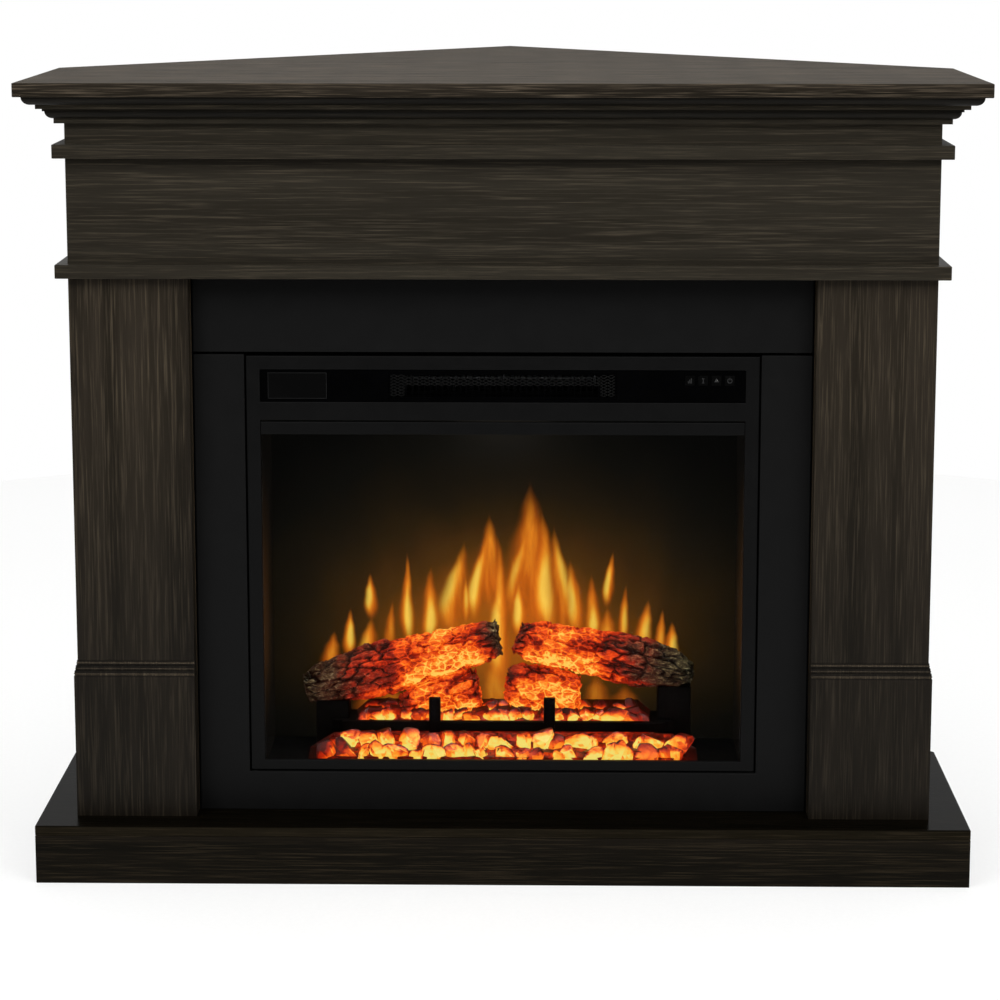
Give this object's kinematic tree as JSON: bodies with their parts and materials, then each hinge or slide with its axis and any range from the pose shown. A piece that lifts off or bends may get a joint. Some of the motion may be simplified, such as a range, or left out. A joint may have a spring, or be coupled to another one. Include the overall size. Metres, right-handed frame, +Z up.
{
  "type": "corner fireplace",
  "caption": "Corner fireplace: pentagonal dark wood mantel on a low base, black surround, electric insert with console, glass, log set and fan heater.",
  "frame": {"origin": "centre of the footprint's bounding box, on the floor", "axes": "+Z up, -Y out of the front of the fireplace, +Y into the room's corner, +X to the right seen from the front"},
  "size_m": [1.1, 0.85, 0.94],
  "materials": {
    "mantel_wood": "dark stained wood grain, satin",
    "base_wood": "dark stained wood grain, semi-gloss",
    "raw_board": "bare board, matt",
    "surround_black": "black lacquer, satin",
    "bezel_black": "black, satin",
    "console_gloss": "black, gloss",
    "display_tint": "dark tint, gloss",
    "circuit_board": "green lacquer",
    "key_black": "black, satin",
    "clear_glass": "clear, polished",
    "clip_steel": "zinc plated",
    "screw_zinc": "yellow zinc plated",
    "casing_black": "black powder coat, matt",
    "fire_gloss": "black, gloss",
    "screen_smoke": "smoked, satin",
    "mask_grey": "grey, matt",
    "spinner_foil": "bright foil",
    "brass": "plain",
    "motor_steel": "pressed steel",
    "led_white": "white lacquer",
    "log_bark": "painted moulding, matt",
    "ember": "glowing translucent moulding",
    "grate_black": "black, matt",
    "blower_alu": "mill finish",
    "housing_zinc": "zinc grey",
    "ceramic": "ceramic bars and metal fins",
    "gland_rubber": "black rubber"
  },
  "bodies": {
    "fireplace": {"top_board": "mantel_wood", "crown_front": "mantel_wood", "crown_returns": "mantel_wood", "frieze_board": "mantel_wood", "frieze_strip_front": "mantel_wood", "frieze_strip_returns": "mantel_wood", "waist_ledge_front": "mantel_wood", "waist_ledge_returns": "mantel_wood", "side_panel_left": "mantel_wood", "side_panel_right": "mantel_wood", "pilaster_left": "mantel_wood", "pilaster_right": "mantel_wood", "plinth_block_left": "mantel_wood", "plinth_block_right": "mantel_wood", "inner_panels": "raw_board", "base_board": "base_wood", "base_apron_front": "base_wood", "base_apron_sides": "base_wood", "back_frame": "raw_board", "insert_shelf": "raw_board", "surround_cleats": "raw_board", "cleat_screws": "screw_zinc", "header_panel": "surround_black", "surround_frame": "surround_black", "bezel_frame": "bezel_black", "console_fascia": "console_gloss", "display_window": "display_tint", "display_board": "circuit_board", "outlet_grille": "bezel_black", "key_board": "circuit_board", "glass_pane": "clear_glass", "glass_rail": "bezel_black", "glass_clips": "clip_steel", "casing_base": "casing_black", "casing_top": "casing_black", "casing_sides": "casing_black", "casing_back": "casing_black", "firebox_ceiling": "casing_black", "firebox_sides": "fire_gloss", "flame_screen": "screen_smoke", "flame_mask": "mask_grey", "spinner_bush": "brass", "spinner_motor": "motor_steel", "led_strips": "led_white", "log_left": "log_bark", "log_right": "log_bark", "small_logs": "log_bark", "ember_bed_upper": "ember", "ember_bed_lower": "ember", "fire_grate": "grate_black", "blower_housing": "housing_zinc", "heating_element": "ceramic", "power_board": "circuit_board", "cord_gland": "gland_rubber"},
    "spinner": {"flame_spinner": "spinner_foil"},
    "blower": {"blower_wheel": "blower_alu"},
    "brightness_key": {"key_brightness": "key_black"},
    "timer_key": {"key_timer": "key_black"},
    "heat_key": {"key_heat": "key_black"},
    "power_key": {"key_power": "key_black"}
  },
  "joints": [
    {"name": "spinner_spin", "type": "hinge", "parent": "fireplace", "child": "spinner", "pos_m": [0, -0.18, 0.2002], "axis": [1, 0, 0], "continuous": true},
    {"name": "blower_spin", "type": "hinge", "parent": "fireplace", "child": "blower", "pos_m": [0, -0.243, 0.578], "axis": [1, 0, 0], "continuous": true},
    {"name": "brightness_key_press", "type": "slide", "parent": "fireplace", "child": "brightness_key", "axis": [0, 1, 0], "range_m": [0, 0.0008], "stiffness_N_per_m": 400},
    {"name": "timer_key_press", "type": "slide", "parent": "fireplace", "child": "timer_key", "axis": [0, 1, 0], "range_m": [0, 0.0008], "stiffness_N_per_m": 400},
    {"name": "heat_key_press", "type": "slide", "parent": "fireplace", "child": "heat_key", "axis": [0, 1, 0], "range_m": [0, 0.0008], "stiffness_N_per_m": 400},
    {"name": "power_key_press", "type": "slide", "parent": "fireplace", "child": "power_key", "axis": [0, 1, 0], "range_m": [0, 0.0008], "stiffness_N_per_m": 400}
  ]
}
